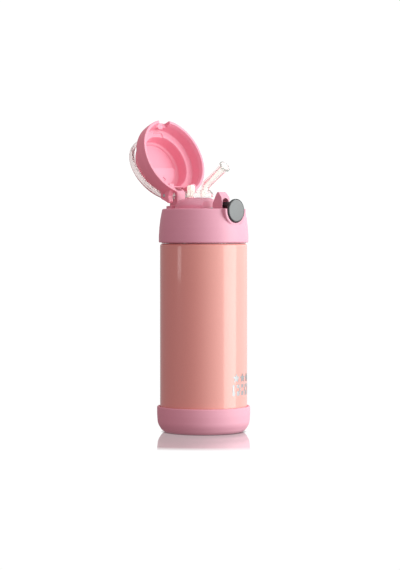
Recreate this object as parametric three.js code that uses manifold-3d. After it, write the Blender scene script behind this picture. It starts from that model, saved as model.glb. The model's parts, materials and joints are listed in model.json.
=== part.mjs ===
// Insulated straw bottle for a small child, with a screw-on collar and a flip lid that stands open.
// Millimetres, +Z up, origin at the centre of the flat foot, -Y towards the latch button, hinge along X.
import * as THREE from 'three';
import { mergeVertices } from 'three/addons/utils/BufferGeometryUtils.js';
import Module from 'manifold-3d';

const wasm = await Module();
wasm.setup();

// ---- driving dimensions ----
const GAP = 0.3; // between neighbouring solids
const SIDES = 48; // sides of a round piece

const BODY_R = 32.5; // painted steel body
const BODY_TOP = 140.2;
const WALL = 0.8; // steel thickness
const FLASK_R = 29.5; // inner vessel
const NECK_R = 25.6;
const NECK_TOP = 158;

const EMBLEM_TURN = THREE.MathUtils.degToRad(15.5); // round from the button's side towards +X
const EMBLEM_Z = 27.8; // lowest edge
const EMBLEM_HALF = 12;
const EMBLEM_BAR = 9.6; // height of the bar under the star
const EMBLEM_STAR = 6;

const BOOT_R = 34.75;
const BOOT_TOP = 19.1;
const FOOT_R = 28.8;

const COLLAR_BOTTOM = 140.7;
const COLLAR_TOP = 166;
const COLLAR_R = 33.45;
const DECK_Z = 163;
const DECK_THICK = 2.2;
const SKIRT_R = 28.2; // inside of the collar's skirt

const PIN_Y = 28.2;
const PIN_Z = 176;
const PIN_R = 1.3;
const PIN_HOLE_R = 1.6;
const BLOCK_HALF = 4.5; // hinge block on the collar
const BLOCK_R = 5.4;
const BLOCK_FRONT = 23.2;
const POCKET_Y = 20.4; // wall of the lid in front of the block
const POCKET_WALL = 1.2;
const EYE_IN = 5; // eyelets of the carry loop
const EYE_OUT = 8.7;
const EAR_IN = 9.2; // ears of the lid
const EAR_OUT = 14;
const EAR_R = 3.7;

const LID_R = 30.3;
const LID_Z = COLLAR_TOP + GAP;
const LID_TOP = 188.3;
const LID_OPEN = THREE.MathUtils.degToRad(112.6);
const LOOP_LIFT = THREE.MathUtils.degToRad(10);
const LOOP_R = 27;
const LOOP_THICK = 2.7;
const LOOP_Z = 178.8;
const LOOP_HEIGHT = 4.4;
const LOOP_Y = 1.2;

const BUTTON_R = 8.55;
const BUTTON_Z = 164.5;
const BUTTON_FACE_Y = -33.6;
const BUTTON_BACK_Y = -31.7;
const BUTTON_PLATE = 0.6;
const RECESS_Y = -29.5;
const PLUNGER_R = 2.3;
const PLUNGER_Z = 168.7;

const HOOK_HALF = 4.4;

const DOME_TOP = 174.5;
const SPOUT_BASE_TOP = 180;
const SPOUT_Y = -1.4; // where the neck rises
const SPOUT_R = 3;
const SPOUT_BORE = 1.8;
const SPOUT_LEAN = THREE.MathUtils.degToRad(35); // above level
const MOUTH = new THREE.Vector3(0, -21.5, 197); // centre of the mouth opening
const MOUTH_LENGTH = 10;
const STRAW_Y = 0.35;

// ---- helpers: closed solids from three.js geometry, cut and joined as manifolds ----
function solid(geometry) {
  const bare = geometry.index ? geometry.clone() : geometry;
  bare.deleteAttribute('normal');
  bare.deleteAttribute('uv');
  const merged = mergeVertices(bare, 1e-4);
  const points = merged.attributes.position.array;
  const corners = Array.from(merged.index.array);
  const kept = [];
  let volume = 0;
  for (let i = 0; i < corners.length; i += 3) {
    const [a, b, c] = corners.slice(i, i + 3);
    if (a === b || b === c || c === a) continue;
    kept.push(a, b, c);
    const p = [a, b, c].map((k) => new THREE.Vector3().fromArray(points, 3 * k));
    volume += p[0].dot(p[1].cross(p[2]));
  }
  if (volume < 0) kept.reverse();
  const mesh = new wasm.Mesh({
    numProp: 3,
    vertProperties: Float32Array.from(points),
    triVerts: Uint32Array.from(kept),
  });
  return new wasm.Manifold(mesh);
}

function toGeometry(manifold) {
  const mesh = manifold.getMesh();
  const geometry = new THREE.BufferGeometry();
  geometry.setAttribute('position', new THREE.BufferAttribute(Float32Array.from(mesh.vertProperties), 3));
  geometry.setIndex(new THREE.BufferAttribute(Uint32Array.from(mesh.triVerts), 1));
  geometry.computeVertexNormals();
  return geometry;
}

// A turned solid about Z from [radius, z] points that start and end on the axis, or close on themselves.
function turned(points, sides = SIDES) {
  const profile = points.map(([r, z]) => new THREE.Vector2(r, z));
  const onAxis = points[0][0] === 0 && points.at(-1)[0] === 0;
  if (!onAxis) profile.push(profile[0].clone());
  return solid(new THREE.LatheGeometry(profile, sides).rotateX(Math.PI / 2));
}

function box(x0, x1, y0, y1, z0, z1) {
  const shape = new THREE.BoxGeometry(x1 - x0, y1 - y0, z1 - z0);
  return solid(shape.translate((x0 + x1) / 2, (y0 + y1) / 2, (z0 + z1) / 2));
}

function pillar(radius, x, y, z0, z1, sides = SIDES) {
  const shape = new THREE.CylinderGeometry(radius, radius, z1 - z0, sides).rotateX(Math.PI / 2);
  return solid(shape.translate(x, y, (z0 + z1) / 2));
}

function rodX(radius, x0, x1, y, z, sides = 24) {
  const shape = new THREE.CylinderGeometry(radius, radius, x1 - x0, sides).rotateZ(Math.PI / 2);
  return solid(shape.translate((x0 + x1) / 2, y, z));
}

function rodY(radius, y0, y1, z, sides = 32) {
  return solid(new THREE.CylinderGeometry(radius, radius, y1 - y0, sides).translate(0, (y0 + y1) / 2, z));
}

// A plate with a [y, z] outline that reaches from x0 to x1.
function sidePlate(outline, x0, x1) {
  const shape = new THREE.Shape(outline.map(([y, z]) => new THREE.Vector2(y, z)));
  const plate = new THREE.ExtrudeGeometry(shape, { depth: x1 - x0, bevelEnabled: false });
  plate.applyMatrix4(new THREE.Matrix4().makeBasis(
    new THREE.Vector3(0, 1, 0), new THREE.Vector3(0, 0, 1), new THREE.Vector3(1, 0, 0)));
  return solid(plate.translate(x0, 0, 0));
}

// A quarter round from one [radius, z] point to another, bulging away from (or into) the corner.
function arc(r0, z0, r1, z1, steps = 5, bulge = 1) {
  return Array.from({ length: steps + 1 }, (_, k) => {
    const t = (k / steps) * (Math.PI / 2);
    const [u, v] = bulge > 0 ? [1 - Math.cos(t), Math.sin(t)] : [Math.sin(t), 1 - Math.cos(t)];
    return [r0 + (r1 - r0) * u, z0 + (z1 - z0) * v];
  });
}

// A helical wire about Z.
class Coil extends THREE.Curve {
  constructor(radius, height, turns) {
    super();
    Object.assign(this, { radius, height, turns });
  }
  getPoint(t, target = new THREE.Vector3()) {
    const angle = t * this.turns * 2 * Math.PI;
    return target.set(this.radius * Math.cos(angle), this.radius * Math.sin(angle), t * this.height);
  }
}

function circle(radius, sides) {
  const points = Array.from({ length: sides }, (_, k) => {
    const angle = (k / sides) * 2 * Math.PI;
    return new THREE.Vector2(radius * Math.cos(angle), radius * Math.sin(angle));
  });
  return new THREE.Shape(points);
}

function coil(radius, wire, height, turns) {
  const steps = Math.round(turns * 12);
  const path = new Coil(radius, height, turns);
  return new THREE.ExtrudeGeometry(circle(wire, 6), { extrudePath: path, steps, bevelEnabled: false });
}

// ---- materials ----
function finish(color, roughness, metalness = 0, opacity = 1) {
  return new THREE.MeshStandardMaterial({
    color, roughness, metalness, opacity, transparent: opacity < 1,
  });
}
const pinkPlastic = finish(0xf2b4c8, 0.4);
const pinkSilicone = finish(0xf2b4c8, 0.55);
const coralPaint = finish(0xee9d92, 0.15);
const bareSteel = finish(0xb9bcc0, 0.3, 1);
const clearSilicone = finish(0xf2e9e2, 0.35, 0, 0.8);
const clearPlastic = finish(0xe8dcdc, 0.1, 0, 0.45);
const whiteSilicone = finish(0xf2f0ec, 0.6);
const darkPlastic = finish(0x232222, 0.45);
const greyPlastic = finish(0xa9abae, 0.4);
const silverPrint = finish(0xd9d6d8, 0.3, 0.6);

// ---- the bottle: boot, double wall and what is between ----
function baseBoot() {
  const inner = BODY_R + GAP;
  return turned([
    [0, 0], [FOOT_R, 0], ...arc(FOOT_R, 0, BOOT_R - 0.3, 11, 6, -1), [BOOT_R, BOOT_TOP - 1],
    [BOOT_R - 0.5, BOOT_TOP], [inner, BOOT_TOP - 0.1], [inner, 9.5],
    [31.2, 3.8], [30, 2.2], [0, 2.2],
  ]);
}

function outerShell() {
  const inner = BODY_R - WALL;
  return turned([
    [29.6, 2.6], [30.6, 4.2], [BODY_R, 9.5], [BODY_R, 136], [31.9, 138.8], [29.4, BODY_TOP],
    [NECK_R + GAP, BODY_TOP], [NECK_R + GAP, BODY_TOP - WALL], [29, BODY_TOP - WALL],
    [31.2, 138], [inner, 135.8], [inner, 10], [29.9, 4.8], [29.1, 3.6], [29.1, 2.6],
  ]);
}

function basePlate() {
  return turned([[0, 2.7], [28.7, 2.7], [28.7, 3.5], [0, 3.5]]);
}

function vacuumGetter() {
  return turned([[0, 3.9], [6, 3.9], [6, 5], [0, 5]], 24);
}

function innerFlask() {
  const inner = FLASK_R - WALL;
  return turned([
    [0, 6.4], [23, 6.4], ...arc(23, 6.4, FLASK_R, 14, 4, -1), [FLASK_R, 132], [NECK_R, 136.6],
    [NECK_R, NECK_TOP], [NECK_R - WALL, NECK_TOP], [NECK_R - WALL, 136.2], [inner, 131.4],
    ...arc(23, 7.2, inner, 14, 4, -1).reverse(), [0, 7.2],
  ]);
}

// A five-pointed star over a plain bar, printed on the body a little round from under the button.
function frontEmblem() {
  const points = Array.from({ length: 10 }, (_, k) => {
    const reach = k % 2 ? 2.8 : EMBLEM_STAR;
    const angle = (k / 10) * 2 * Math.PI + Math.PI / 2;
    return new THREE.Vector2(reach * Math.cos(angle), reach * Math.sin(angle));
  });
  const star = new THREE.ExtrudeGeometry(new THREE.Shape(points), { depth: 12, bevelEnabled: false });
  const bar = new THREE.BoxGeometry(2 * EMBLEM_HALF, 12, EMBLEM_BAR).translate(0, -32, EMBLEM_Z + EMBLEM_BAR / 2);
  const starZ = EMBLEM_Z + EMBLEM_BAR + EMBLEM_STAR * 0.65;
  star.rotateX(Math.PI / 2).translate(0, -26, starZ);
  const skin = BODY_R + GAP;
  const ring = turned([[skin, 20], [skin + 0.35, 20], [skin + 0.35, 50], [skin, 50]], 96);
  const prints = [star, bar].map((shape) => solid(shape.rotateZ(EMBLEM_TURN)));
  return prints[0].add(prints[1]).intersect(ring);
}

// ---- the collar ----
function collarShell() {
  const under = DECK_Z - DECK_THICK;
  const turnedPart = turned([
    [COLLAR_R - 0.4, COLLAR_BOTTOM], [COLLAR_R, 141.4], [COLLAR_R - 0.1, 146], [33, 152], [32.3, 158],
    [31.3, 163.5], [30.6, COLLAR_TOP], [29.4, COLLAR_TOP], [28.7, 165.4], [28.5, DECK_Z],
    [9, DECK_Z], [9, under], [SKIRT_R, under], [SKIRT_R, 150], [30.2, 148], [30.6, COLLAR_BOTTOM],
  ]);
  const recess = rodY(BUTTON_R + 0.6, -40, RECESS_Y, BUTTON_Z, 40);
  const pad = box(-8.8, 8.8, 25.7, 30.4, DECK_Z - 0.5, 168.3);
  const block = box(-BLOCK_HALF, BLOCK_HALF, BLOCK_FRONT, 31.2, DECK_Z - 0.5, PIN_Z)
    .add(rodX(BLOCK_R, -BLOCK_HALF, BLOCK_HALF, PIN_Y, PIN_Z))
    .intersect(box(-5, 5, BLOCK_FRONT, 34, DECK_Z - 1, 190));
  const springSlot = box(-2.9, 2.9, 25, 31, PIN_Z - 4, 190);
  return turnedPart
    .subtract(recess)
    .add(pad)
    .add(block.subtract(springSlot))
    .subtract(rodX(PIN_HOLE_R, -20, 20, PIN_Y, PIN_Z));
}

function threadRing() {
  return turned([[26.2, 143], [27.8, 143], [27.8, 158], [26.2, 158]]);
}

function neckGasket() {
  return turned([[22.5, 158.4], [27.6, 158.4], [27.6, 160.5], [22.5, 160.5]]);
}

// The seat is a leaning dome: a wide ring on the deck that draws in towards the front at its flat top.
function spoutSeat() {
  const low = DECK_Z + GAP;
  const height = DOME_TOP - low;
  const dome = new THREE.CylinderGeometry(10.3, 15.1, height, SIDES).rotateX(Math.PI / 2);
  const position = dome.attributes.position;
  for (let i = 0; i < position.count; i++) {
    const rise = position.getZ(i) / height + 0.5;
    position.setY(i, position.getY(i) + THREE.MathUtils.lerp(7.5, 5.1, rise));
    position.setZ(i, low + rise * height);
  }
  return solid(dome)
    .add(pillar(8.6, 0, 0, 158.6, low + 1))
    .subtract(pillar(4.3, 0, STRAW_Y, 150, 180, 24));
}

function spoutBase() {
  const foot = DOME_TOP + GAP;
  const disc = turned([
    [SPOUT_BORE, foot], [7.65, foot], [7.65, 177], ...arc(7.65, 177, 4.6, SPOUT_BASE_TOP, 4),
    [SPOUT_BORE, SPOUT_BASE_TOP],
  ]).translate([0, STRAW_Y, 0]);
  return disc.subtract(box(-4.2, 4.2, -12, -4.2, 177.3, 185));
}

function ventValve() {
  return box(-2.4, 2.4, 11.3, 14.8, DOME_TOP + GAP, 183.2).add(box(-1.8, 1.8, 11.9, 14.2, 183, 183.9));
}

function strawFerrule() {
  return turned([[3.3, 157], [4, 157], [4, 173.5], [3.3, 173.5]], 24).translate([0, STRAW_Y, 0]);
}

function straw() {
  return turned([[2.3, 12], [3, 12], [3, 172], [2.3, 172]], 24).translate([0, STRAW_Y, 0]);
}

// ---- the spout: a bent tube and the mouthpiece that carries on along its lean ----
const leanDirection = new THREE.Vector3(0, -Math.cos(SPOUT_LEAN), Math.sin(SPOUT_LEAN));

function spoutNeck() {
  const end = MOUTH.clone().addScaledVector(leanDirection, -(MOUTH_LENGTH + GAP));
  const bend = end.clone().addScaledVector(leanDirection, -9.5);
  const rise = new THREE.Vector3(0, SPOUT_Y, SPOUT_BASE_TOP + GAP);
  const path = new THREE.CurvePath();
  path.add(new THREE.QuadraticBezierCurve3(rise, new THREE.Vector3(0, SPOUT_Y, 183.4), bend));
  path.add(new THREE.LineCurve3(bend, end));
  const ring = circle(SPOUT_R, 20);
  ring.holes.push(new THREE.Path(circle(SPOUT_BORE, 12).getPoints()));
  return solid(new THREE.ExtrudeGeometry(ring, { extrudePath: path, steps: 14, bevelEnabled: false }));
}

function mouthpiece() {
  const root = -MOUTH_LENGTH;
  return turned([
    [SPOUT_BORE, root], [SPOUT_R, root], [3.3, -3], [4.1, -2], [4.3, -1], [4, 0], [2.2, 0], [SPOUT_BORE, -3],
  ], 32);
}

// ---- the latch ----
function buttonFace() {
  return rodY(7.2, BUTTON_FACE_Y, BUTTON_BACK_Y - BUTTON_PLATE - GAP, BUTTON_Z);
}

function buttonRim() {
  return rodY(BUTTON_R, BUTTON_FACE_Y + 0.3, BUTTON_BACK_Y, BUTTON_Z, 40)
    .subtract(rodY(7.5, -35, -31, BUTTON_Z));
}

function buttonStem() {
  return rodY(7.2, BUTTON_BACK_Y - BUTTON_PLATE, BUTTON_BACK_Y, BUTTON_Z)
    .add(rodY(PLUNGER_R, BUTTON_BACK_Y - 0.3, -19.3, PLUNGER_Z, 24));
}

// Upright block with a sloping nose. The lid's catch rides over the nose and sits under the arch behind it.
function latchHook() {
  const outline = [
    [-14.5, 163.4], [-14.5, 169.5], [-19.5, 178], [-20.3, 178.4], [-21, 177], [-23.4, 175.2],
    [-23.6, 174.4], [-23.6, 163.4],
  ];
  const arch = box(-3.2, 3.2, -30, -19, 166, 170.4).add(rodY(3.2, -30, -19, 170.4, 24));
  return sidePlate(outline, -HOOK_HALF, HOOK_HALF).subtract(arch);
}

// ---- the lid, drawn shut ----
function lidShell() {
  const shell = turned([
    [28.1, LID_Z], [LID_R, LID_Z], [30.1, 173.5], [29.3, 176.6], [27.8, 178], [23.3, 178.4],
    [22.8, 179.2], [22.6, 185.6], [21, 187.7], [18.5, LID_TOP], [0, LID_TOP],
    [0, 186.5], [18, 186.5], [20.4, 185], [21.2, 177.2], [21.5, 176.6], [26.4, 176.4], [27.2, 168],
  ].reverse());
  const heel = [
    [23, 167], [26.6, 167], [30.6, 172], [34.8, 172.4], [35.7, 173.6], [32, 176.6], [29.5, 179.3],
    [PIN_Y, 179.6], [25.5, 178.3], [23, 178.3],
  ];
  const ears = [-1, 1].map((side) => {
    const [x0, x1] = side > 0 ? [EAR_IN, EAR_OUT] : [-EAR_OUT, -EAR_IN];
    return sidePlate(heel, x0, x1).add(rodX(EAR_R, x0, x1, PIN_Y, PIN_Z));
  });
  const back = POCKET_Y + POCKET_WALL;
  const pocket = box(-10.3, 10.3, POCKET_Y, 27, 168.6, 177.5).add(box(-10.3, 10.3, POCKET_Y, 22, 177, 182.6));
  const notch = box(-EAR_IN + 0.1, EAR_IN - 0.1, back, 40, 160, 182);
  const hookRoom = box(-5, 5, -24, -19, 170, 177.5);
  const catchTab = box(-2.6, 2.6, -28, -24.2, 171.9, 173.3);
  const rimNotch = box(-5.2, 5.2, -40, -25, 160, 171.7);
  return shell
    .add(pocket)
    .add(ears[0])
    .add(ears[1])
    .subtract(notch)
    .subtract(hookRoom)
    .add(catchTab)
    .subtract(rimNotch)
    .subtract(rodX(PIN_HOLE_R, -20, 20, PIN_Y, PIN_Z));
}

function lidFloorDisc() {
  return turned([[0, 185.5], [16.5, 185.5], [16.5, 186.2], [0, 186.2]]);
}

function hingePin() {
  return rodX(PIN_R, -EAR_OUT + 0.4, EAR_OUT - 0.4, PIN_Y, PIN_Z, 20);
}

function carryLoop() {
  const inner = LOOP_R - LOOP_THICK;
  const top = LOOP_Z + LOOP_HEIGHT;
  const ring = turned([
    [inner, LOOP_Z], [LOOP_R - 0.6, LOOP_Z], [LOOP_R, LOOP_Z + 0.8], [LOOP_R, top - 1.2],
    [LOOP_R - 1, top], [inner + 0.4, top], [inner, top - 0.6],
  ]).translate([0, LOOP_Y, 0]);
  const ends = [-1, 1].map((side) => {
    const [x0, x1] = side > 0 ? [EYE_IN, EYE_OUT] : [-EYE_OUT, -EYE_IN];
    return rodX(3.6, x0, x1, PIN_Y, PIN_Z).add(box(x0, x1, PIN_Y - 3.2, PIN_Y, PIN_Z, top - 2));
  });
  return ring
    .subtract(box(-EYE_IN, EYE_IN, 15, 35, 170, 190))
    .subtract(rodX(4.3, EYE_OUT, 16, PIN_Y, PIN_Z))
    .subtract(rodX(4.3, -16, -EYE_OUT, PIN_Y, PIN_Z))
    .add(ends[0])
    .add(ends[1])
    .subtract(rodX(PIN_HOLE_R, -20, 20, PIN_Y, PIN_Z));
}

// ---- assembly ----
function piece(name, shape, material) {
  const geometry = shape.isBufferGeometry ? shape : toGeometry(shape);
  const mesh = new THREE.Mesh(geometry, material);
  mesh.name = name;
  return mesh;
}

// A group that swings about the hinge pin and holds pieces drawn in the shut position.
function aboutPin(angle, ...pieces) {
  const group = new THREE.Group();
  group.position.set(0, PIN_Y, PIN_Z);
  group.rotation.x = -angle;
  for (const part of pieces) {
    part.position.set(0, -PIN_Y, -PIN_Z);
    group.add(part);
  }
  return group;
}

const bottle = new THREE.Group();
bottle.add(
  piece('base_boot', baseBoot(), pinkSilicone),
  piece('outer_shell', outerShell(), coralPaint),
  piece('base_plate', basePlate(), bareSteel),
  piece('vacuum_getter', vacuumGetter(), bareSteel),
  piece('inner_flask', innerFlask(), bareSteel),
  piece('front_emblem', frontEmblem(), silverPrint),
);

const mouth = piece('mouthpiece', mouthpiece(), clearSilicone);
mouth.position.copy(MOUTH);
mouth.rotation.x = Math.PI / 2 - SPOUT_LEAN;

const lidSpring = piece('lid_spring', coil(2, 0.35, 4.6, 4), bareSteel);
lidSpring.position.set(-2.3, PIN_Y, PIN_Z);
lidSpring.rotation.y = Math.PI / 2;

const collar = new THREE.Group();
collar.add(
  piece('neck_gasket', neckGasket(), whiteSilicone),
  piece('collar_shell', collarShell(), pinkPlastic),
  piece('thread_ring', threadRing(), pinkPlastic),
  piece('spout_seat', spoutSeat(), pinkPlastic),
  piece('spout_base', spoutBase(), clearSilicone),
  piece('vent_valve', ventValve(), clearSilicone),
  piece('straw_ferrule', strawFerrule(), clearPlastic),
  piece('straw', straw(), clearPlastic),
  piece('spout_neck', spoutNeck(), clearSilicone),
  mouth,
  piece('hinge_pin', hingePin(), bareSteel),
  lidSpring,
);

const buttonSpring = piece('button_spring', coil(1.3, 0.3, 5.6, 4), bareSteel);
buttonSpring.position.set(0, -8.3, 165.4);
buttonSpring.rotation.x = Math.PI / 2;

const latch = new THREE.Group();
latch.add(
  piece('button_face', buttonFace(), greyPlastic),
  piece('button_rim', buttonRim(), darkPlastic),
  piece('button_stem', buttonStem(), darkPlastic),
  piece('latch_hook', latchHook(), pinkPlastic),
  buttonSpring,
);

const group = new THREE.Group();
group.add(
  bottle,
  collar,
  latch,
  aboutPin(LID_OPEN, piece('lid_shell', lidShell(), pinkPlastic),
    piece('lid_floor_disc', lidFloorDisc(), pinkPlastic)),
  aboutPin(LID_OPEN + LOOP_LIFT, piece('carry_loop', carryLoop(), clearPlastic)),
);

export default group;
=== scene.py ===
"""Insulated straw bottle with a flip lid: fine surfaces, finishes and studio around the packed frame.

Shapes are drawn in millimetres, +Z up and -Y towards the button, and then scaled to metres.
Lid pieces are drawn shut and then swung open about the hinge pin.
"""

import json

import math

import bmesh
import bpy
from bpy.props import FloatProperty, FloatVectorProperty, PointerProperty
from mathutils import Matrix, Vector


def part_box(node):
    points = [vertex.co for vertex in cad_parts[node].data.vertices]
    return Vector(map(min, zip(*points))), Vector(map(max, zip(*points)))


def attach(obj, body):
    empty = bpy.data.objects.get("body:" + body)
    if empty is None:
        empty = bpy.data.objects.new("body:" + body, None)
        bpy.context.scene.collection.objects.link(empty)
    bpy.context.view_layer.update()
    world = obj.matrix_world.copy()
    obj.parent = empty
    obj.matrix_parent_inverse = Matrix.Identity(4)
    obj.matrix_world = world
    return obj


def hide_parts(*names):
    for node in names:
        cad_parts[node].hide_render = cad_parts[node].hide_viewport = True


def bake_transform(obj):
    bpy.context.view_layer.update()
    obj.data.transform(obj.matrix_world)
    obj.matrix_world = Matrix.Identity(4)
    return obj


bl_info = {
    "name": "Straw Bottle",
    "version": (1, 0, 0),
    "blender": (4, 5, 0),
    "location": "View3D > Sidebar > Bottle",
    "description": "Builds the visible pieces of an insulated straw bottle around its frame",
    "category": "Object",
}

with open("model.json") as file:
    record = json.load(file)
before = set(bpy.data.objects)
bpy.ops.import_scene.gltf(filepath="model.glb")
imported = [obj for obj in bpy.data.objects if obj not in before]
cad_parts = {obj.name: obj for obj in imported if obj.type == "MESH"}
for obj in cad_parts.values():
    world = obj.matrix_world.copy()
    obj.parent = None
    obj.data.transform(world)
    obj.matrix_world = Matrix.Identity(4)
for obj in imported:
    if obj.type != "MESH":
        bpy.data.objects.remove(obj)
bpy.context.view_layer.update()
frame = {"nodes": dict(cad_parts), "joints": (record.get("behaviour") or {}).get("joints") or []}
MM = 1000.0
JOINTS = {joint["name"]: joint for joint in frame["joints"]}
PIN = Vector(JOINTS["lid_hinge"]["pos_m"]) * MM
LID_OPEN = math.radians(JOINTS["lid_hinge"]["range_deg"][1])
LOOP_LIFT = math.radians(JOINTS["loop_swing"]["range_deg"][1])


def span(node, axis):
    """Lowest and highest place of a frame node along an axis, in millimetres."""
    low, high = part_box(node)
    return low[axis] * MM, high[axis] * MM


BODY_R = span("outer_shell", 0)[1]
BODY_TOP = span("outer_shell", 2)[1]
BOOT_R = span("base_boot", 0)[1]
BOOT_TOP = span("base_boot", 2)[1]
COLLAR_R = span("collar_shell", 0)[1]
COLLAR_LOW = span("collar_shell", 2)[0]
LID_R = span("lid_shell", 0)[1]
BUTTON_R = span("button_rim", 0)[1]
BUTTON_Z = sum(span("button_rim", 2)) / 2
BUTTON_FACE_Y, BUTTON_FACE_BACK = span("button_face", 1)
PLUNGER_BACK = span("button_stem", 1)[1]
EMBLEM_Z = sum(span("front_emblem", 2)) / 2 - 0.8
EMBLEM_TURN = math.radians(15.5)  # round from the button's side towards +X
RIM_Z = 166.0  # top of the collar's rim, where the lid sits
DECK_Z = 163.0  # floor inside that rim, which carries the dome
DOME_TOP = span("spout_seat", 2)[1]
LOOP_R = span("carry_loop", 0)[1]
BORE_R = 1.5  # hole for the hinge pin
PIN_R = 1.3
SPOUT_AXIS = (0, 0.35)
FINE, ROUND, SMALL = 160, 96, 48  # flats round a body, a button and a bore
TINY = 1e-6


# ---- sizes and colours that a user may change ----
def length(name, description, default):
    return FloatProperty(name=name, description=description, default=default / MM, unit="LENGTH")


def colour(name, description, default):
    return FloatVectorProperty(
        name=name, description=description, default=default, size=3, min=0, max=1, subtype="COLOR"
    )


class BottleColours(bpy.types.PropertyGroup):
    pink: colour("Pink plastic", "Collar, lid and latch", (0.82, 0.32, 0.42))
    boot: colour("Pink silicone", "Soft boot", (0.82, 0.32, 0.41))
    coral: colour("Coral paint", "Painted steel body", (0.82, 0.285, 0.25))
    button: colour("Grey plastic", "Button face", (0.225, 0.18, 0.187))


class BottleSizes(bpy.types.PropertyGroup):
    texture_depth: length("Texture depth", "Height of the moulded texture", 0.012)
    boot_lip: length("Boot lip", "Rounding of the boot's top lip", 0.9)
    tube_radius: length("Tube radius", "Outside of the drinking spout", 3.25)
    tube_bore: length("Tube bore", "Inside of the drinking spout", 1.8)
    lip_radius: length("Lip radius", "Flared lip at the mouth opening", 4.3)


class StudioSettings(bpy.types.PropertyGroup):
    lens: FloatProperty(name="Lens", description="Camera lens in millimetres", default=127.1, min=20)
    distance: length("Distance", "Camera to the bottle's axis", 1500)
    eye_height: length("Eye height", "Camera above the floor", 150)
    azimuth: FloatProperty(
        name="Azimuth",
        description="Camera round the bottle",
        default=math.radians(-46.3),
        subtype="ANGLE",
    )
    key_power: FloatProperty(
        name="Key light",
        description="Power of the key light",
        default=11.5,
        unit="POWER",
    )
    fill: FloatProperty(name="Fill", description="Light that comes from all sides", default=0.47, min=0)
    slope: FloatProperty(name="Slope", description="Extra light from the bright side", default=1.3, min=0)


# ---- meshes ----
def rounded(corners, steps=5, closed=True):
    """A smooth outline from corners (a, b, radius): each corner with a radius becomes an arc."""
    points = []
    count = len(corners)
    for i, (x, y, radius) in enumerate(corners):
        here = Vector((x, y))
        if radius <= 0 or (not closed and i in (0, count - 1)):
            points.append(here)
            continue
        before = Vector(corners[i - 1][:2]) - here
        after = Vector(corners[(i + 1) % count][:2]) - here
        half = before.angle(after) / 2
        reach = min(radius / math.tan(half), before.length * 0.49, after.length * 0.49)
        radius = reach * math.tan(half)
        middle = here + (before.normalized() + after.normalized()).normalized() * (radius / math.sin(half))
        start = here + before.normalized() * reach - middle
        end = here + after.normalized() * reach - middle
        turn = start.angle_signed(end)
        for k in range(steps + 1):
            angle = -turn * k / steps
            c, s = math.cos(angle), math.sin(angle)
            points.append(middle + Vector((start.x * c - start.y * s, start.x * s + start.y * c)))
    return points


def new_object(name, mesh_data):
    made = bpy.data.objects.new(name, mesh_data)
    bpy.context.scene.collection.objects.link(made)
    return made


def from_bmesh(name, bm):
    bmesh.ops.remove_doubles(bm, verts=bm.verts, dist=1e-4)
    bmesh.ops.recalc_face_normals(bm, faces=bm.faces)
    data = bpy.data.meshes.new(name)
    bm.to_mesh(data)
    bm.free()
    return new_object(name, data)


def level_ring(bm, radius, place, z, segments):
    """A level ring of vertices about (x, y), or one vertex repeated where the radius is nothing."""
    x, y = place
    if radius < TINY:
        return [bm.verts.new((x, y, z))] * segments
    angles = [2 * math.pi * k / segments for k in range(segments)]
    return [bm.verts.new((x + radius * math.cos(a), y + radius * math.sin(a), z)) for a in angles]


def ring_about(bm, centre, across, up, radius, segments):
    """A ring of vertices in the plane of two directions."""
    made = []
    for k in range(segments):
        angle = 2 * math.pi * k / segments
        out = across * radius * math.cos(angle) + up * radius * math.sin(angle)
        made.append(bm.verts.new(centre + out))
    return made


def skin(bm, rings, closed=False):
    """Faces from each ring to the next."""
    pairs = list(zip(rings, rings[1:]))
    if closed:
        pairs.append((rings[-1], rings[0]))
    for low, high in pairs:
        count = len(low)
        for k in range(count):
            n = (k + 1) % count
            corners = list(dict.fromkeys([low[k], low[n], high[n], high[k]]))
            if len(corners) > 2:
                bm.faces.new(corners)


def revolve(name, outline, segments=ROUND, centre=(0, 0), closed=True):
    """A turned piece about Z from an outline of (radius, z) points."""
    bm = bmesh.new()
    skin(bm, [level_ring(bm, radius, centre, z, segments) for radius, z in outline], closed)
    return from_bmesh(name, bm)


def prism(name, outline, start, end, axis):
    """A plate with a flat outline. axis 0: outline is (y, z); axis 1: outline is (x, z)."""
    bm = bmesh.new()
    place = (lambda d, p: (d, p[0], p[1])) if axis == 0 else (lambda d, p: (p[0], d, p[1]))
    ends = [[bm.verts.new(place(d, p)) for p in outline] for d in (start, end)]
    bm.faces.new(ends[0])
    bm.faces.new(ends[1][::-1])
    count = len(outline)
    for k in range(count):
        n = (k + 1) % count
        bm.faces.new([ends[0][n], ends[0][k], ends[1][k], ends[1][n]])
    return from_bmesh(name, bm)


def block(name, low, high):
    (x0, y0, z0), (x1, y1, z1) = low, high
    return prism(name, [(y0, z0), (y1, z0), (y1, z1), (y0, z1)], x0, x1, 0)


def rod(name, radius, start, end, centre, axis, segments=SMALL):
    """A round bar along X (axis 0, centre (y, z)) or Y (axis 1, centre (x, z))."""
    angles = [2 * math.pi * k / segments for k in range(segments)]
    outline = [(centre[0] + radius * math.cos(a), centre[1] + radius * math.sin(a)) for a in angles]
    return prism(name, outline, start, end, axis)


def pin_bore(half_length):
    return rod("bore", BORE_R, -half_length, half_length, (PIN.y, PIN.z), 0, 32)


def settle(piece):
    """Applies every modifier on the piece."""
    bpy.context.view_layer.update()
    graph = bpy.context.evaluated_depsgraph_get()
    old = piece.data
    piece.data = bpy.data.meshes.new_from_object(piece.evaluated_get(graph))
    piece.modifiers.clear()
    bpy.data.meshes.remove(old)
    return piece


def combine(piece, tools, operation):
    for tool in tools:
        cut = piece.modifiers.new("cut", "BOOLEAN")
        cut.operation, cut.object, cut.solver = operation, tool, "EXACT"
    settle(piece)
    for tool in tools:
        data = tool.data
        bpy.data.objects.remove(tool)
        bpy.data.meshes.remove(data)
    return piece


def join(piece, *tools):
    return combine(piece, tools, "UNION")


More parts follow.
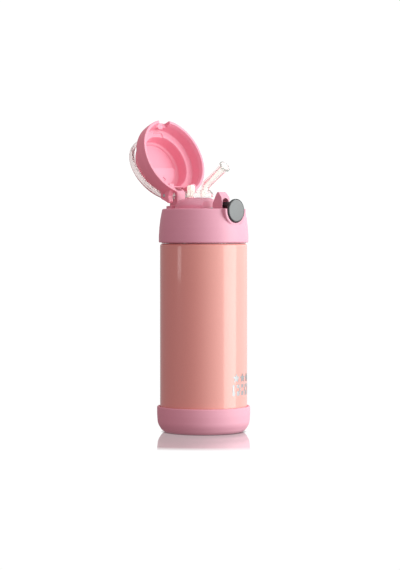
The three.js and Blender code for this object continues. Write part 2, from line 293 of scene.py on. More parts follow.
def cut(piece, *tools):
    return combine(piece, tools, "DIFFERENCE")


def soften(piece, voxel, rounds):
    """Melts hard edges into moulded fillets: an even fine mesh, then smoothing."""
    remesh = piece.modifiers.new("remesh", "REMESH")
    remesh.mode, remesh.voxel_size = "VOXEL", voxel
    smooth = piece.modifiers.new("smooth", "SMOOTH")
    smooth.factor, smooth.iterations = 0.5, rounds
    return settle(piece)


def swing(piece, angle):
    """Swings a piece drawn shut about the hinge pin."""
    about = Matrix.Translation(PIN) @ Matrix.Rotation(-angle, 4, "X") @ Matrix.Translation(-PIN)
    piece.data.transform(about)
    return piece


def dress(piece, material):
    """Scales a piece to metres and gives it its slot and finish."""
    piece.data.transform(Matrix.Scale(1 / MM, 4))
    piece.data.materials.clear()
    piece.data.materials.append(material)
    piece.data.shade_smooth()


def deliver(piece, body, slot, material, *nodes):
    """Hands a piece to its body in place of its nodes."""
    dress(piece, material)
    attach(piece, body)
    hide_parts(*nodes)


def deliver_bent(piece, bodies, slot, material, start, end, *nodes):
    """Hands a piece that bends from start to end to its two bodies in place of its nodes."""
    dress(piece, material)
    start / MM
    end / MM
    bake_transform(piece)
    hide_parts(*nodes)


def crease(piece, degrees=35):
    """Keeps real edges crisp under smooth shading."""
    limit = math.radians(degrees)
    bm = bmesh.new()
    bm.from_mesh(piece.data)
    for edge in bm.edges:
        edge.smooth = not (len(edge.link_faces) == 2 and edge.calc_face_angle(0) > limit)
    bm.to_mesh(piece.data)
    bm.free()
    return piece


# ---- finishes ----
PLASTIC_GRAIN, SILICONE_GRAIN = 2600.0, 1800.0  # how fine the moulded texture is
PAINT_PEEL = 0.000006  # depths of a surface in metres
CLEAR_SKIN = 0.000001
STREAK_DEPTH = 0.00001
FINISHES = {}


class Signal:
    """A shader socket that takes part in arithmetic."""

    def __init__(self, tree, socket):
        self.tree, self.socket = tree, socket

    def _math(self, operation, first, second):
        return Nodes(self.tree).node("ShaderNodeMath", {"operation": operation}, {0: first, 1: second})

    def __add__(self, other):
        return self._math("ADD", self, other)

    __radd__ = __add__

    def __sub__(self, other):
        return self._math("SUBTRACT", self, other)

    def __rsub__(self, other):
        return self._math("SUBTRACT", other, self)

    def __mul__(self, other):
        return self._math("MULTIPLY", self, other)

    __rmul__ = __mul__

    def __pow__(self, other):
        return self._math("POWER", self, other)

    def __rpow__(self, other):
        return self._math("POWER", other, self)

    def at_least(self, other):
        return self._math("MAXIMUM", self, other)

    def at_most(self, other):
        return self._math("MINIMUM", self, other)

    def more_than(self, other):
        return self._math("GREATER_THAN", self, other)


class Nodes:
    """Adds nodes to a tree and links them."""

    def __init__(self, tree):
        self.tree = tree

    def put(self, value, socket):
        """A signal is linked to the socket, and a plain value is set on it."""
        if isinstance(value, Signal):
            self.tree.links.new(value.socket, socket)
        else:
            socket.default_value = value

    def node(self, kind, settings=None, numbered=None, output=0, **named):
        """Any node, from its type, its settings and the values or signals of its sockets."""
        made = self.tree.nodes.new(kind)
        for key, value in (settings or {}).items():
            setattr(made, key, value)
        for index, value in (numbered or {}).items():
            self.put(value, made.inputs[index])
        for key, value in named.items():
            self.put(value, made.inputs[key.replace("_", " ")])
        return Signal(self.tree, made.outputs[output])

    def mix(self, factor, first, second):
        """A colour between two."""
        return self.node("ShaderNodeMix", {"data_type": "RGBA"}, {0: factor, 6: first, 7: second}, output=2)

    def mix_shaders(self, factor, first, second):
        return self.node("ShaderNodeMixShader", numbered={0: factor, 1: first, 2: second})

    def add_shaders(self, first, second):
        return self.node("ShaderNodeAddShader", numbered={0: first, 1: second})

    def end_with(self, shader, output="Material Output"):
        self.put(shader, self.tree.nodes[output].inputs["Surface"])


class Finish(Nodes):
    """A Principled material. Constants go straight on the shader's sockets."""

    def __init__(self, name, **constants):
        self.material = bpy.data.materials.new(name)
        self.material.use_nodes = True
        super().__init__(self.material.node_tree)
        self.shader = self.tree.nodes["Principled BSDF"]
        for key, value in constants.items():
            self.shader.inputs[key.replace("_", " ")].default_value = value

    def place(self):
        return self.node("ShaderNodeTexCoord", output="Object")

    def noise(self, scale, detail=2.0, roughness=0.5):
        return self.node(
            "ShaderNodeTexNoise",
            Vector=self.place(),
            Scale=scale,
            Detail=detail,
            Roughness=roughness,
        )

    def feed(self, name, signal):
        self.put(signal, self.shader.inputs[name])

    def bump(self, height, depth, strength=1.0):
        self.feed("Normal", self.node("ShaderNodeBump", Height=height, Distance=depth, Strength=strength))


def tint(rgb, factor):
    return tuple(min(1.0, c * factor) for c in rgb) + (1.0,)


def moulded(name, rgb, roughness, depth, grain, **constants):
    """Moulded plastic or silicone: faint colour drift, uneven gloss and a fine skin texture."""
    finish = Finish(name, **constants)
    drift = finish.noise(38.0, 3.0)
    finish.feed("Base Color", finish.mix(drift, tint(rgb, 0.965), tint(rgb, 1.035)))
    finish.feed("Roughness", finish.noise(160.0, 4.0) * 0.12 + (roughness - 0.06))
    finish.bump(finish.noise(grain, 2.0, 0.6), depth)
    return finish.material


def glazed(name, rgb, depth):
    """Sprayed paint under a clear coat with a little orange peel."""
    finish = Finish(name, Coat_Weight=0.75, Coat_Roughness=0.09, Coat_IOR=1.5)
    finish.feed("Base Color", finish.mix(finish.noise(900.0, 2.0), tint(rgb, 0.97), tint(rgb, 1.03)))
    finish.feed("Roughness", finish.noise(240.0, 3.0) * 0.08 + 0.36)
    finish.bump(finish.noise(420.0, 1.0), depth)
    return finish.material


def brushed(name, rgb, roughness):
    """Turned or drawn metal with fine streaks round it."""
    finish = Finish(name, Metallic=1.0)
    streaks = finish.node(
        "ShaderNodeTexNoise",
        Vector=finish.node("ShaderNodeMapping", Vector=finish.place(), Scale=(60.0, 60.0, 4000.0)),
        Scale=1.0,
        Detail=3.0,
    )
    finish.feed("Base Color", finish.mix(streaks, tint(rgb, 0.9), tint(rgb, 1.1)))
    finish.feed("Roughness", streaks * 0.16 + (roughness - 0.08))
    finish.bump(streaks, STREAK_DEPTH)
    return finish.material


def see_through(name, rgb, roughness, ior, transmission, depth, painted_glow_strength=0.0):
    """Clear plastic or silicone with a faintly uneven skin."""
    finish = Finish(
        name,
        Transmission_Weight=transmission,
        IOR=ior,
        # painted glow: a faint warm emission that brightens the clear piece without a lamp
        Emission_Color=(1.0, 0.96, 0.9, 1),
        Emission_Strength=painted_glow_strength,
    )
    finish.feed("Base Color", finish.mix(finish.noise(60.0, 2.0), tint(rgb, 0.98), tint(rgb, 1.02)))
    finish.feed("Roughness", finish.noise(130.0, 3.0) * 0.05 + roughness)
    finish.bump(finish.noise(300.0, 2.0), depth)
    return finish.material


def shaded_glowing_pink(rgb, depth):
    """Thin pink plastic with a little light passing through it."""
    # painted shade: the pink made darker and redder, in place of the shade and red bounce light inside the
    # lid
    painted_shade_rgb = tuple(c * factor for c, factor in zip(rgb, (0.92, 0.88, 0.88)))
    # painted glow: a faint red emission, in place of light coming through the thin wall
    through = {"Emission_Color": (1.0, 0.1, 0.16, 1), "Emission_Strength": 0.12}
    return moulded("pink_shell_painted_shade_glow", painted_shade_rgb, 0.42, depth, PLASTIC_GRAIN, **through)


def finish(name):
    """Makes each finish once."""
    if name in FINISHES:
        return FINISHES[name]
    colours = bpy.context.scene.bottle_colours
    depth = bpy.context.scene.bottle_sizes.texture_depth
    makers = {
        "pink": lambda: moulded("satin_pink_plastic", colours.pink, 0.42, depth, PLASTIC_GRAIN),
        # the lid's finish: the pink with painted shade and a painted red glow
        "lid": lambda: shaded_glowing_pink(colours.pink, depth),
        "boot": lambda: moulded("soft_pink_silicone", colours.boot, 0.55, depth, SILICONE_GRAIN),
        "coral": lambda: glazed("coral_gloss_paint", colours.coral, PAINT_PEEL),
        "button": lambda: moulded("grey_button_plastic", colours.button, 0.45, depth, PLASTIC_GRAIN),
        "dark": lambda: moulded("dark_plastic", (0.018, 0.017, 0.018), 0.4, depth, PLASTIC_GRAIN),
        "white": lambda: moulded("white_silicone", (0.8, 0.79, 0.77), 0.6, depth, SILICONE_GRAIN),
        "steel": lambda: brushed("bare_steel", (0.62, 0.63, 0.64), 0.28),
        "silver": lambda: brushed("silver_print", (0.43, 0.36, 0.375), 0.45),
        # the clear spout and the milky valve get a faint painted glow that brightens them
        "spout": lambda: see_through(
            "clear_silicone", (1.0, 0.985, 0.95), 0.02,
            ior=1.3, transmission=0.9, depth=CLEAR_SKIN, painted_glow_strength=0.035,
        ),
        "valve": lambda: see_through(
            "milky_silicone", (0.98, 0.93, 0.85), 0.25,
            ior=1.35, transmission=0.5, depth=CLEAR_SKIN, painted_glow_strength=0.1,
        ),
        "loop": lambda: see_through(
            "clear_plastic", (0.93, 0.83, 0.82), 0.16, ior=1.42, transmission=0.8, depth=0.0
        ),
    }
    FINISHES[name] = makers[name]()
    return FINISHES[name]


# ---- pieces ----
def make_boot():
    lip = bpy.context.scene.bottle_sizes.boot_lip * MM
    outline = rounded(
        [
            (0, 0.0, 0), (28.9, 0.0, 0.8), (31.4, 1.4, 5), (34.3, 6.2, 9), (BOOT_R, 13, 8),
            (BOOT_R, BOOT_TOP, lip),
            (BODY_R + 0.15, BOOT_TOP, 0.5), (BODY_R + 0.15, 9, 3), (30.6, 3, 2), (0, 2.2, 0),
        ],
        steps=8,
        closed=False,
    )
    boot = revolve("boot", outline, 144, closed=False)
    deliver(boot, "bottle", "soft_pink", finish("boot"), "base_boot")


def make_body():
    outline = rounded(
        [
            (29.6, 2.6, 0), (BODY_R, 9.5, 5), (BODY_R, 60, 0), (BODY_R, 110, 0), (BODY_R, BODY_TOP, 1.9),
            (25.9, BODY_TOP, 0.3), (25.9, BODY_TOP - 0.8, 0.3), (BODY_R - 0.8, BODY_TOP - 0.9, 1.2),
            (BODY_R - 0.8, 10, 4), (29.1, 3.4, 0),
        ],
        steps=10,
    )
    body = revolve("painted_body", outline, FINE)
    deliver(crease(body), "bottle", "coral_paint", finish("coral"), "outer_shell")


def star(reach, notch, points=5):
    corners = []
    for k in range(2 * points):
        angle = math.pi * k / points + math.pi / 2
        size = notch if k % 2 else reach
        corners.append((size * math.cos(angle), size * math.sin(angle), 0.35))
    return rounded(corners, steps=3)


def make_emblem():
    """Three plain stars over a framed bar, printed on the body's front."""
    prints = [[(p.x + x, p.y + 4.2) for p in star(4.0, 1.8)] for x in (-8.0, 0.0, 8.0)]
    for z, half, height in ((-8.6, 12.0, 3.4), (-2.9, 12.0, 2.6)):
        bar = rounded(
            [(-half, z, 0.8), (half, z, 0.8), (half, z + height, 0.8), (-half, z + height, 0.8)], steps=4
        )
        prints.append([(p.x, p.y) for p in bar])
    for x in (-12.0, -4.6, 2.8, 10.2):
        prints.append([(x, -5.4), (x + 1.8, -5.4), (x + 1.8, -2.7), (x, -2.7)])
    bm = bmesh.new()
    for outline in prints:
        edge = [bm.verts.new((x, 0, EMBLEM_Z + z)) for x, z in outline]
        bm.faces.new(edge)
    bmesh.ops.triangulate(bm, faces=bm.faces)
    bmesh.ops.subdivide_edges(bm, edges=bm.edges, cuts=3, use_grid_fill=True)
    lift = 0.1
    for vert in bm.verts:
        angle = vert.co.x / BODY_R + EMBLEM_TURN
        vert.co.x = (BODY_R + lift) * math.sin(angle)
        vert.co.y = -(BODY_R + lift) * math.cos(angle)
    bmesh.ops.solidify(bm, geom=bm.faces, thickness=0.06)
    emblem = from_bmesh("star_print", bm)
    deliver(crease(emblem), "bottle", "silver_print", finish("silver"), "front_emblem")


def make_collar():
    outer = [
        (COLLAR_R - 0.5, COLLAR_LOW), (COLLAR_R, 141.3), (COLLAR_R - 0.05, 146), (33.0, 152), (32.3, 158),
        (31.4, 163), (30.9, 165.3), (30.2, RIM_Z), (29.4, RIM_Z), (28.7, 165.2), (28.5, DECK_Z),
        (9, DECK_Z), (9, 160.8), (28.2, 160.8), (28.2, 150), (30.2, 148), (30.2, COLLAR_LOW - 0.3),
        (31.3, COLLAR_LOW - 0.3), (31.3, COLLAR_LOW + 0.6), (32.7, COLLAR_LOW + 0.4), (32.9, COLLAR_LOW),
    ]
    collar = revolve("collar", outer, FINE)
    recess = rod("recess", BUTTON_R + 0.55, -40, -29.5, (0, BUTTON_Z), 1, 64)
    pad = block("pad", (-8.8, 25.7, DECK_Z - 0.5), (8.8, 30.6, 168.3))
    stand = block("stand", (-4.5, 23.2, DECK_Z - 0.5), (4.5, 31.2, PIN.z))
    crown = rod("crown", 5.4, -4.5, 4.5, (PIN.y, PIN.z), 0)
    trim = block("trim", (-6, 10, 150), (6, 23.2, 190))
    cut(crown, trim)
    lip = revolve_y(
        "lip",
        rounded([(9.1, -28.9, 0), (11.3, -28.9, 0), (11.3, -32.6, 0.8), (9.1, -33.0, 0.4)]),
        closed=True,
    )
    combine(lip, [block("below_rim", (-20, -40, 140), (20, 0, RIM_Z - 0.2))], "INTERSECT")
    join(collar, pad, stand, crown, lip)
    spring_slot = block("slot", (-2.9, 25, PIN.z - 4), (2.9, 31, 190))
    cut(collar, recess, spring_slot, pin_bore(12))
    soften(collar, 0.38, 4)
    deliver(collar, "collar", "pink_plastic", finish("pink"), "collar_shell")


def revolve_y(name, outline, height=BUTTON_Z, closed=False):
    """A turned piece about an axis along Y, from (radius, y) points."""
    piece = revolve(name, outline, ROUND, closed=closed)
    turn = Matrix.Rotation(-math.pi / 2, 4, "X")
    piece.data.transform(Matrix.Translation((0, 0, height)) @ turn)
    return piece


def make_button():
    back = BUTTON_FACE_BACK
    face = revolve_y(
        "button_cap",
        rounded(
            [(0, BUTTON_FACE_Y, 0), (7.9, BUTTON_FACE_Y + 0.05, 0.35), (7.9, back, 0.1), (0, back, 0)],
            closed=False,
        ),
    )
    deliver(crease(face, 50), "button", "grey_plastic", finish("button"), "button_face")
    front, rear = span("button_rim", 1)
    inside = 8.05
    outline = rounded(
        [
            (inside, front + 0.1, 0.1), (BUTTON_R, front - 0.05, 0.3), (BUTTON_R, rear, 0.3),
            (inside, rear, 0.1), (inside, front + 0.1, 0),
        ],
        closed=False,
    )
    ring = revolve_y("button_ring", outline)
    deliver(crease(ring, 50), "button", "dark_plastic", finish("dark"), "button_rim")
    plate = -31.7
    stem = revolve_y(
        "button_plunger",
        rounded(
            [(0, plate - 0.6, 0), (7.2, plate - 0.6, 0.2), (7.2, plate, 0.2), (4.6, plate, 0.5),
             (3.4, plate + 1.2, 0.5), (0, plate + 1.2, 0)],
            closed=False,
        ),
    )
    rod_piece = revolve_y(
        "plunger_rod",
        rounded(
            [(0, plate - 0.2, 0), (2.3, plate - 0.2, 0.1), (2.3, PLUNGER_BACK, 0.5), (0, PLUNGER_BACK, 0)],
            closed=False,
        ),
        height=168.7,
    )
    join(stem, rod_piece)
    deliver(crease(stem, 40), "button", "dark_plastic", finish("dark"), "button_stem")


def make_latch():
    side = rounded(
        [
            (-14.5, 163.4, 0.3), (-14.3, 169.5, 1.5), (-18.7, 178.2, 0.9), (-20.0, 178.3, 1.0),
            (-23.6, 174.2, 1.4), (-23.8, 163.4, 0.3),
        ],
        steps=4,
    )
    latch = prism("latch", side, -4.4, 4.4, 0)
    front = rounded(
        [
            (-4.4, 162, 0), (4.4, 162, 0), (4.4, 176, 2),
            (3.6, 179.5, 1.6), (-3.6, 179.5, 1.6), (-4.4, 176, 2),
        ],
        steps=4,
    )
    combine(latch, [prism("front", front, -40, 0, 1)], "INTERSECT")
    leg = block("leg", (-3.2, -30, 160), (3.2, -19, 170.4))
    arch = rod("arch", 3.2, -30, -19, (0, 170.4), 1)
    cut(latch, leg, arch)
    soften(latch, 0.22, 5)
    setback = 1.2  # the hook stands this far behind its frame node
    latch.data.transform(Matrix.Translation((0, setback, 0)))
    deliver(latch, "button", "pink_plastic", finish("pink"), "latch_hook")


def make_seat():
    low = DECK_Z + 0.15
    foot_middle, top_middle = 8.0, 5.1  # the dome leans forward, so its rings move in y
    steps = rounded(
        [(16.3, low, 0), (16.3, 169.0, 3), (14.4, 171.9, 6), (8.4, DOME_TOP - 0.3, 5), (0, DOME_TOP, 0)],
        steps=6,
        closed=False,
    )
    bm = bmesh.new()
    rings = []
    for radius, z in [(0, low)] + [(p.x, p.y) for p in steps]:
        rise = (z - low) / (DOME_TOP - low)
        middle = foot_middle + (top_middle - foot_middle) * rise
        rings.append(level_ring(bm, radius, (0, middle), z, 128))
    skin(bm, rings)
    seat = from_bmesh("spout_dome", bm)
    cut(seat, block("front_flat", (-20, -20, 150), (20, -6.9, 190)))
    rear_flat = block("rear_flat", (-14.5, 20.3, 168), (14.5, 40, 190))
    block_room = block("block_room", (-5, 22.9, 150), (5, 40, 190))
    cut(seat, rear_flat, block_room)
    socket_outline = [(0, 150), (4.2, 150), (4.2, 190), (0, 190)]
    socket = revolve("socket", socket_outline, SMALL, centre=SPOUT_AXIS, closed=False)
    cut(seat, socket)
    soften(seat, 0.3, 4)
    deliver(seat, "collar", "pink_plastic", finish("pink"), "spout_seat")


def make_spout_foot():
    foot = DOME_TOP + 0.15
    outline = rounded(
        [(1.8, foot, 0), (7.6, foot, 0.3), (7.6, 177.2, 2.4), (5.2, 179.9, 0.8), (3.6, 180.1, 0.3),
         (1.8, 180.1, 0)],
        steps=5,
    )
    disc = revolve("spout_foot", outline, centre=SPOUT_AXIS)
    cut(disc, block("trough", (-4.0, -12, 177.4), (4.0, -4.6, 185)))
    soften(disc, 0.2, 3)
    deliver(disc, "collar", "clear_silicone", finish("spout"), "spout_base")
    valve = block("air_valve", (-2.4, 11.3, foot), (2.4, 14.8, 183.2))
    join(valve, block("cap", (-1.9, 11.8, 183), (1.9, 14.3, 183.9)))
    cut(valve, block("slit", (-1.6, 12.9, 182.9), (1.6, 13.2, 185)))
    soften(valve, 0.14, 3)
    deliver(valve, "collar", "clear_silicone", finish("valve"), "vent_valve")


def bezier(points, count):
    a, b, c, d = (Vector(p) for p in points)
    made = []
    for k in range(count + 1):
        t = k / count
        made.append(a * (1 - t) ** 3 + b * 3 * t * (1 - t) ** 2 + c * 3 * t * t * (1 - t) + d * t ** 3)
    return made


def make_spout():
    """One soft tube from the foot to the lip. It bends between the collar and the mouthpiece."""
    sizes = bpy.context.scene.bottle_sizes
    radius, bore, lip = sizes.tube_radius * MM, sizes.tube_bore * MM, sizes.lip_radius * MM
    root = Vector((0, -1.4, 179.6))
    mouth = Vector((0, -21.5, 197.0))
    slope = math.radians(35)
    lean = Vector((0, -math.cos(slope), math.sin(slope)))
    knee = mouth - lean * 21.5
    straight = 28
    path = bezier([root, root + Vector((0, 0, 4.4)), knee - lean * 1.4, knee], 14)
    path += [knee.lerp(mouth, k / straight) for k in range(1, straight + 1)]
    across = Vector((1, 0, 0))
    bm = bmesh.new()
    outer, inner = [], []
    for i, centre in enumerate(path):
        ahead = path[min(i + 1, len(path) - 1)] - path[max(i - 1, 0)]
        up = ahead.normalized().cross(across)
        from_end = (mouth - centre).length
        flare = max(0.0, 1 - from_end / 2.6)
        flare = flare * flare * (3 - 2 * flare)
        outside = radius + (lip - radius) * flare + 0.25 * max(0.0, 1 - from_end / 12)
        outer.append(ring_about(bm, centre, across, up, outside, 40))
        inner.append(ring_about(bm, centre, across, up, bore + 0.9 * flare, 40))
    skin(bm, outer)
    skin(bm, inner)
    for end in (0, -1):
        skin(bm, [outer[end], inner[end]])
    tube = from_bmesh("drinking_spout", bm)
    bodies, nodes = ("collar", "mouthpiece"), ("spout_neck", "mouthpiece")
    deliver_bent(tube, bodies, "clear_silicone", finish("spout"), root, mouth - lean * 9, *nodes)


def make_lid():
    outline = [
        (28.2, RIM_Z + 0.3), (LID_R, RIM_Z + 0.3), (30.2, 172), (29.7, 175.4), (28.9, 177.2), (27.4, 178.2),
        (23.1, 178.4), (22.5, 179.3), (22.3, 185.6), (21.3, 187.4), (18.8, 188.3), (0, 188.3),
        (0, 186.5), (18, 186.5), (20.2, 185), (21.0, 177.3), (21.5, 176.6), (26.3, 176.3), (27.1, 169),
    ]
    lid = revolve("lid", outline, FINE)
    heel = rounded(
        [
            (22, 167, 0), (26.4, 167, 1), (30.4, 171.6, 1.5), (34.8, 172.4, 0.8), (35.7, 173.6, 0.7),
            (32.2, 176.6, 2), (29.6, 179.4, 1.5), (PIN.y - 0.4, 179.6, 0.8), (25.5, 178.3, 0),
            (22, 178.3, 0),
        ],
        steps=4,
    )
    ears = [prism("ear", heel, side * 9.2, side * 14.0, 0) for side in (-1, 1)]
    pocket = block("pocket", (-10.3, 20.4, 175.2), (10.3, 27, 177.5))
    wall = block("wall", (-10.3, 20.4, 177), (10.3, 22, 182.6))
    join(lid, ears[0], ears[1], pocket, wall)
    notch = block("notch", (-9.1, 21.6, 160), (9.1, 40, 182))
    hook_room = block("hook_room", (-5, -24, 170), (5, -19, 177.5))
    rim_notch = block("rim_notch", (-5.2, -40, 160), (5.2, -25, 171.5))
    cut(lid, notch, hook_room, rim_notch, pin_bore(20))
    tip_room = revolve("tip_room", [(0, 186), (18.4, 186), (18.4, 187.4), (0, 187.4)], closed=False)
    combine(tip_room, [block("front_part", (-30, -30, 180), (30, 1.3, 190))], "INTERSECT")
    cut(lid, tip_room)
    join(lid, block("catch", (-2.3, -28, 171.9), (2.3, -25.0, 173.1)))
    soften(lid, 0.42, 5)
    swing(lid, LID_OPEN)
    # the lid shell takes the pink with painted shade and painted glow
    deliver(lid, "lid", "pink_plastic", finish("lid"), "lid_shell")


def make_lid_disc():
    disc = revolve(
        "lid_disc",
        rounded(
            [(0, 185.3, 0), (15.9, 185.3, 0.25), (16.5, 186.2, 0.2), (0, 186.2, 0)],
            steps=4,
            closed=False,
        ),
        128,
        closed=False,
    )
    mark = block("mark", (-1.4, -1.4, 184.8), (1.4, 1.4, 185.8))
    mark.data.transform(Matrix.Translation((2.0, 10.4, 0)) @ Matrix.Rotation(math.pi / 4, 4, "Z"))
    cut(disc, mark, block("spout_room", (-20, -20, 180), (20, 1.0, 190)))
    swing(crease(disc), LID_OPEN)
    # the disc keeps the plain pink, so it stays lighter than the painted shade of the lid shell
    deliver(disc, "lid", "pink_plastic", finish("pink"), "lid_floor_disc")


def make_loop():
    top = 183.2
    low = 178.8
    ring = revolve(
        "loop",
        rounded(
            [(24.3, low, 0.5), (LOOP_R, low, 1.0), (LOOP_R, top, 1.6), (24.5, top, 1.0), (24.3, 181, 0.5)],
            steps=5,
        ),
        FINE,
        centre=(0, 1.0),
    )
    cut(ring, block("gap", (-5, 15, 170), (5, 35, 190)))
    eye_r, ear_room_r = 3.6, 4.3
    near, far = 5.0, 8.7  # the eyes lie between these widths
    left_room = rod("left_room", ear_room_r, -16, -far, (PIN.y, PIN.z), 0)
    right_room = rod("right_room", ear_room_r, far, 16, (PIN.y, PIN.z), 0)
    cut(ring, left_room, right_room)
    for side in (-1, 1):
        inner, outer = sorted((side * near, side * far))
        eye = rod("eye", eye_r, inner, outer, (PIN.y, PIN.z), 0)
        arm = block("arm", (inner, PIN.y - 3.2, PIN.z), (outer, PIN.y, top - 2))
        join(eye, arm)
        join(ring, eye)
    cut(ring, pin_bore(20))
    soften(ring, 0.24, 4)
    swing(ring, LID_OPEN + LOOP_LIFT)
    deliver(ring, "carry_loop", "clear_plastic", finish("loop"), "carry_loop")


def make_hinge():
    start, end = span("hinge_pin", 0)
    outline = rounded([(0, start, 0), (PIN_R, start, 0.3), (PIN_R, end, 0.3), (0, end, 0)], closed=False)
    pin = revolve("pin", outline, 40, closed=False)
    pin.data.transform(Matrix.Translation(PIN) @ Matrix.Rotation(math.pi / 2, 4, "Y"))
    deliver(crease(pin), "collar", "steel", finish("steel"), "hinge_pin")


def coil(name, radius, wire, height, turns):
    """A round wire wound about Z, with closed ends."""
    steps = int(turns * 28)
    up = Vector((0, 0, 1))
    bm = bmesh.new()
    rings = []
    for i in range(steps + 1):
        angle = 2 * math.pi * turns * i / steps
        out = Vector((math.cos(angle), math.sin(angle), 0))
        centre = out * radius + up * (height * i / steps)
        rings.append(ring_about(bm, centre, out, up, wire, 10))
    skin(bm, rings)
    bm.faces.new(rings[0][::-1])
    bm.faces.new(rings[-1])
    return from_bmesh(name, bm)


def make_springs():
    lid_spring = coil("hinge_spring", 2.0, 0.35, 4.6, 4)
    turn = Matrix.Translation((-2.3, PIN.y, PIN.z)) @ Matrix.Rotation(math.pi / 2, 4, "Y")
    lid_spring.data.transform(turn)
    deliver(lid_spring, "collar", "steel", finish("steel"), "lid_spring")
    (y0, y1), z = span("button_spring", 1), sum(span("button_spring", 2)) / 2
    press = coil("press_spring", 1.3, 0.3, y1 - y0 - 0.6, 4)
    press.data.transform(Matrix.Translation((0, y1 - 0.3, z)) @ Matrix.Rotation(math.pi / 2, 4, "X"))
    fixed_end, pressed_end = Vector((0, y1, z)), Vector((0, y0, z))
    bodies = ("collar", "button")
    deliver_bent(press, bodies, "steel", finish("steel"), fixed_end, pressed_end, "button_spring")


def dress_hidden():
    """Carried frame nodes keep their shape and get a finish."""
    choices = {
        "steel": ("base_plate", "vacuum_getter", "inner_flask"),
        "pink": ("thread_ring",),
        "white": ("neck_gasket",),
        "loop": ("straw", "straw_ferrule"),
    }
    for name, nodes in choices.items():
        for node in nodes:
            slots = frame["nodes"][node].data.materials
            slots.clear()
            slots.append(finish(name))


# ---- studio ----
def lamp(name, toward, distance, height, size, power, tone):
    """A soft box at an angle to the right of the camera, aimed at the middle of the bottle."""
    studio = bpy.context.scene.bottle_studio
    angle = studio.azimuth + math.radians(toward)
    data = bpy.data.lights.new(name, "AREA")
    data.shape = "RECTANGLE"
    data.size, data.size_y = size
    data.energy, data.color = power, tone
    light = new_object(name, data)
    light.location = (distance * math.sin(angle), -distance * math.cos(angle), height)
    aim = Vector((0, 0, 0.11)) - light.location
    light.rotation_euler = aim.to_track_quat("-Z", "Y").to_euler()


def sheet(name, height):
    """A large level sheet."""
    bm = bmesh.new()
    bmesh.ops.create_grid(bm, x_segments=8, y_segments=8, size=6.0)
    made = from_bmesh(name, bm)
    made.data.transform(Matrix.Translation((0, 0, height)))
    made.visible_diffuse = False
    made.visible_shadow = False
    return made


def make_floor():
    """A white floor that mirrors the foot of the bottle, with a dark line of contact under the boot."""
    floor = sheet("floor", -0.0003)
    floor.visible_glossy = False
    surface = Finish("studio_floor")
    reach = surface.node(
        "ShaderNodeVectorMath", {"operation": "LENGTH"}, output="Value", Vector=surface.place()
    )
    near = surface.node(
        "ShaderNodeMapRange", Value=reach, From_Min=0.112, From_Max=0.134, To_Min=0.72, To_Max=0.0
    )
    # painted shadow: a dark ring painted on the floor round the foot, where the boot's overhang shades it
    painted_foot_shadow = surface.node(
        "ShaderNodeMapRange", Value=reach, From_Min=0.0285, From_Max=0.0325, To_Min=0.9, To_Max=0.0
    )
    glow = surface.node("ShaderNodeEmission", Strength=1.02)
    mirror = surface.node("ShaderNodeBsdfGlossy", Color=(1, 1, 1, 1), Roughness=0.04)
    # the dark colour of the painted shadow ring
    shade = surface.node("ShaderNodeEmission", Color=(0.12, 0.05, 0.065, 1))
    clear = surface.node("ShaderNodeBsdfTransparent")
    above = surface.mix_shaders(painted_foot_shadow, surface.mix_shaders(near, glow, mirror), shade)
    below = surface.node("ShaderNodeNewGeometry", output="Backfacing")
    surface.end_with(surface.mix_shaders(below, above, clear))
    floor.data.materials.append(surface.material)


def make_film():
    """A clear film just above the floor. It marks the light that the floor mirrors."""
    film = sheet("film", -0.0001)
    surface = Finish("clear_film")
    surface.end_with(surface.node("ShaderNodeBsdfTransparent"))
    film.data.materials.append(surface.material)


def lobe(nodes, direction, toward, power):
    """Light that is strongest from one side, at an angle to the right of the camera."""
    angle = bpy.context.scene.bottle_studio.azimuth + math.radians(toward)
    rise = 0.25  # a little from above
    side = Vector((math.sin(angle), -math.cos(angle), rise)).normalized()
    dot = {"operation": "DOT_PRODUCT"}
    facing = nodes.node("ShaderNodeVectorMath", dot, {0: direction, 1: side}, output="Value")
    return facing.at_least(0.0) ** power


def make_world():
    """White where it is seen or shines through clear pieces, and a soft slope of light round the bottle."""
    studio = bpy.context.scene.bottle_studio
    world = bpy.data.worlds.new("studio")
    bpy.context.scene.world = world
    world.use_nodes = True
    nodes = Nodes(world.node_tree)
    direction = nodes.node("ShaderNodeTexCoord", output="Generated")
    height = nodes.node("ShaderNodeSeparateXYZ", output="Z", Vector=direction)
    above = (height * 0.6 + 0.9).at_least(0.35).at_most(1.0)
    slope = lobe(nodes, direction, 68, 1.4) + lobe(nodes, direction, 146, 3.0) * 0.6
    from_side = nodes.node(
        "ShaderNodeBackground", Color=(0.72, 0.985, 0.96, 1), Strength=slope * above * studio.slope
    )
    from_all = nodes.node("ShaderNodeBackground", Color=(1.0, 0.84, 0.86, 1), Strength=above * studio.fill)
    around = nodes.add_shaders(from_side, from_all)
    plain_white = nodes.node("ShaderNodeBackground", Color=(1, 1, 1, 1), Strength=1.05)
    seen = nodes.node("ShaderNodeLightPath", output="Is Camera Ray")
    through = nodes.node("ShaderNodeLightPath", output="Is Transmission Ray")
    glossy = nodes.node("ShaderNodeLightPath", output="Is Glossy Ray")
    films_passed = nodes.node("ShaderNodeLightPath", output="Transparent Depth")
    mirrored = glossy * films_passed.more_than(0.5) * height.more_than(0.0)
    white = seen.at_least(through).at_least(mirrored)
    nodes.end_with(nodes.mix_shaders(white, around, plain_white), "World Output")


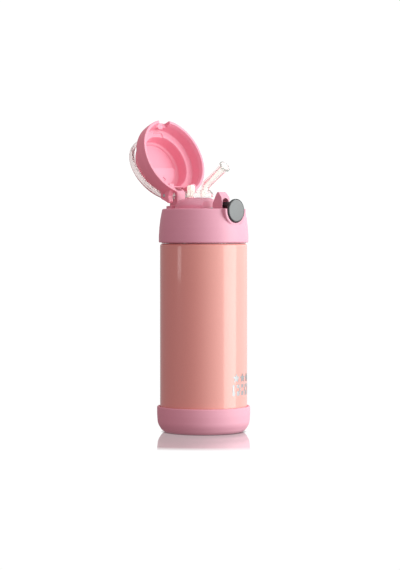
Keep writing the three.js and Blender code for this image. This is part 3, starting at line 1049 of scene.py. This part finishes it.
def make_camera():
    studio = bpy.context.scene.bottle_studio
    right = Vector((math.cos(studio.azimuth), math.sin(studio.azimuth), 0))
    data = bpy.data.cameras.new("camera")
    data.lens = studio.lens
    data.clip_end = 50
    camera = new_object("camera", data)
    camera.location = (
        studio.distance * math.sin(studio.azimuth),
        -studio.distance * math.cos(studio.azimuth),
        studio.eye_height,
    )
    target = Vector((0, 0, 0.1092)) - right * 0.0027  # a little above the middle and to its left
    camera.rotation_euler = (target - camera.location).to_track_quat("-Z", "Y").to_euler()
    bpy.context.scene.camera = camera


def make_stage():
    studio = bpy.context.scene.bottle_studio
    scene = bpy.context.scene
    scene.view_settings.view_transform = "Standard"
    make_world()
    make_floor()
    make_film()
    lamp("key_light", 74, 1.1, 0.35, (0.85, 1.2), studio.key_power, (0.75, 1.0, 0.95))
    lamp("strip_light", -66, 1.4, 0.16, (0.26, 0.13), studio.key_power * 0.022, (1, 1, 1))
    make_camera()


# ---- add-on ----
def step(idname, label, doc, work):
    """One operator that runs one maker function."""

    def execute(self, context):
        work()
        return {"FINISHED"}

    return type(
        f"BOTTLE_OT_{idname}",
        (bpy.types.Operator,),
        {"__doc__": doc, "bl_idname": f"bottle.{idname}", "bl_label": label, "execute": execute},
    )


STEPS = [
    step("stage", "Studio", "Sets the floor, the light and the camera", make_stage),
    step("boot", "Boot", "Makes the soft boot round the foot", make_boot),
    step("body", "Painted body", "Makes the painted steel body", make_body),
    step("emblem", "Emblem", "Prints plain stars over a framed bar on the body", make_emblem),
    step("collar", "Collar", "Makes the screw-on collar with its hinge block", make_collar),
    step("button", "Button", "Makes the push button, its ring and its plunger", make_button),
    step("latch", "Latch", "Makes the latch hook behind the button", make_latch),
    step("seat", "Spout dome", "Makes the dome that holds the spout", make_seat),
    step("spout_foot", "Spout foot", "Makes the soft foot of the spout and the air valve", make_spout_foot),
    step("spout", "Spout", "Makes the soft drinking tube", make_spout),
    step("lid", "Lid", "Makes the flip lid with its ears and catch", make_lid),
    step("lid_disc", "Lid disc", "Makes the round insert in the lid", make_lid_disc),
    step("loop", "Carry loop", "Makes the clear carry loop", make_loop),
    step("hinge", "Hinge pin", "Makes the pin", make_hinge),
    step("springs", "Springs", "Makes the lid's spring and the button's spring", make_springs),
    step("hidden", "Hidden pieces", "Gives the carried inner pieces their finish", dress_hidden),
]


class BOTTLE_PT_panel(bpy.types.Panel):
    """Lists the steps that build the bottle"""

    bl_label = "Straw Bottle"
    bl_idname = "BOTTLE_PT_panel"
    bl_space_type = "VIEW_3D"
    bl_region_type = "UI"
    bl_category = "Bottle"

    def draw(self, context):
        scene = context.scene
        for group in (scene.bottle_sizes, scene.bottle_colours, scene.bottle_studio):
            for name in group.__annotations__:
                self.layout.prop(group, name)
        for made in STEPS:
            self.layout.operator(made.bl_idname)


CLASSES = [BottleColours, BottleSizes, StudioSettings, *STEPS, BOTTLE_PT_panel]


def register():
    for made in CLASSES:
        bpy.utils.register_class(made)
    bpy.types.Scene.bottle_colours = PointerProperty(type=BottleColours)
    bpy.types.Scene.bottle_sizes = PointerProperty(type=BottleSizes)
    bpy.types.Scene.bottle_studio = PointerProperty(type=StudioSettings)


def unregister():
    del bpy.types.Scene.bottle_studio
    del bpy.types.Scene.bottle_sizes
    del bpy.types.Scene.bottle_colours
    for made in reversed(CLASSES):
        bpy.utils.unregister_class(made)


def main():
    register()
    for made in STEPS:
        group, name = made.bl_idname.split(".")
        getattr(getattr(bpy.ops, group), name)()


if __name__ == "__main__":
    main()
